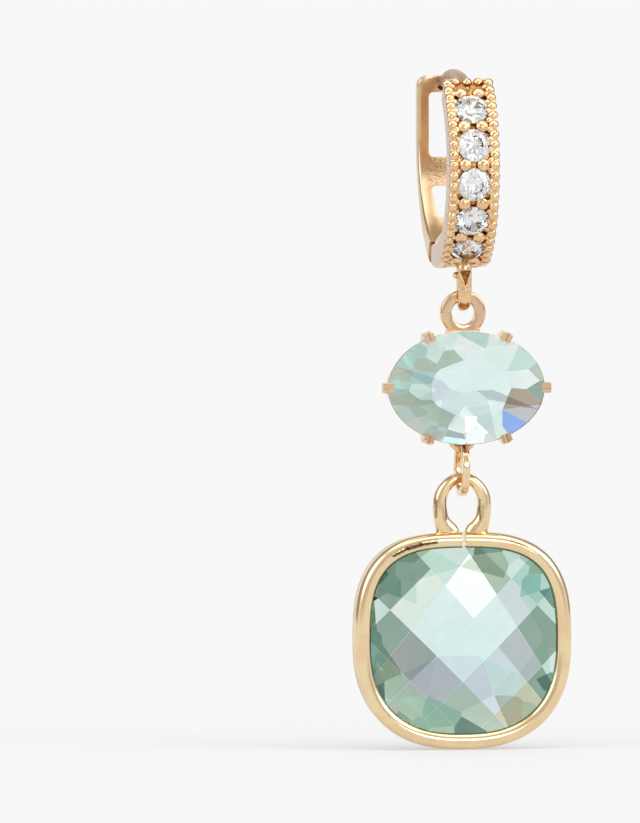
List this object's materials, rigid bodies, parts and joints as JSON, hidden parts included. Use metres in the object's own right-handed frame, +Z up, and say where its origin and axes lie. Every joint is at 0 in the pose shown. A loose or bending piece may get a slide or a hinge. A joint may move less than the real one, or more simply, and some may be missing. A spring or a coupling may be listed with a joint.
{
  "type": "huggie earring with two stone drops",
  "caption": "Hinged huggie hoop earring with clear stones along its front, an oval claw-set stone drop and a cushion-cut stone pendant in a bezel frame.",
  "frame": {"origin": "middle of the ear post, where the ear lobe sits", "axes": "+Z up, the drops hang towards -Z; the front with its stones faces -Y; the post runs along Y and the hinge axis along X"},
  "size_m": [0.0194, 0.0183, 0.0597],
  "materials": {
    "gold_metal": "polished, pale warm gold plating",
    "clear_stone": "faceted, colourless",
    "aqua_stone": "faceted, pale blue-green"
  },
  "bodies": {
    "root": {"hoop_front": "gold_metal", "pave_stone_1": "clear_stone", "pave_stone_2": "clear_stone", "pave_stone_3": "clear_stone", "pave_stone_4": "clear_stone", "pave_stone_5": "clear_stone", "ear_post": "gold_metal", "hinge_pin": "gold_metal"},
    "back_arm": {"hoop_back": "gold_metal"},
    "oval_drop": {"oval_setting": "gold_metal", "oval_stone": "aqua_stone"},
    "jump_ring": {"jump_ring": "gold_metal"},
    "cushion_drop": {"cushion_frame": "gold_metal", "cushion_stone": "aqua_stone"}
  },
  "joints": [
    {"name": "hoop_hinge", "type": "hinge", "parent": "root", "child": "back_arm", "pos_m": [0, -0.0003, -0.01588], "axis": [-1, 0, 0], "range_deg": [0, 45]},
    {"name": "oval_swing", "type": "hinge", "parent": "root", "child": "oval_drop", "pos_m": [0, -0.0035, -0.02036], "axis": [0, 1, 0], "range_deg": [-35, 35]},
    {"name": "ring_swing", "type": "hinge", "parent": "oval_drop", "child": "jump_ring", "pos_m": [0, -0.0032, -0.03282], "axis": [1, 0, 0], "range_deg": [-12, 45]},
    {"name": "cushion_swing", "type": "hinge", "parent": "jump_ring", "child": "cushion_drop", "pos_m": [0, -0.0032, -0.0367], "axis": [0, 1, 0], "range_deg": [-35, 35]}
  ]
}
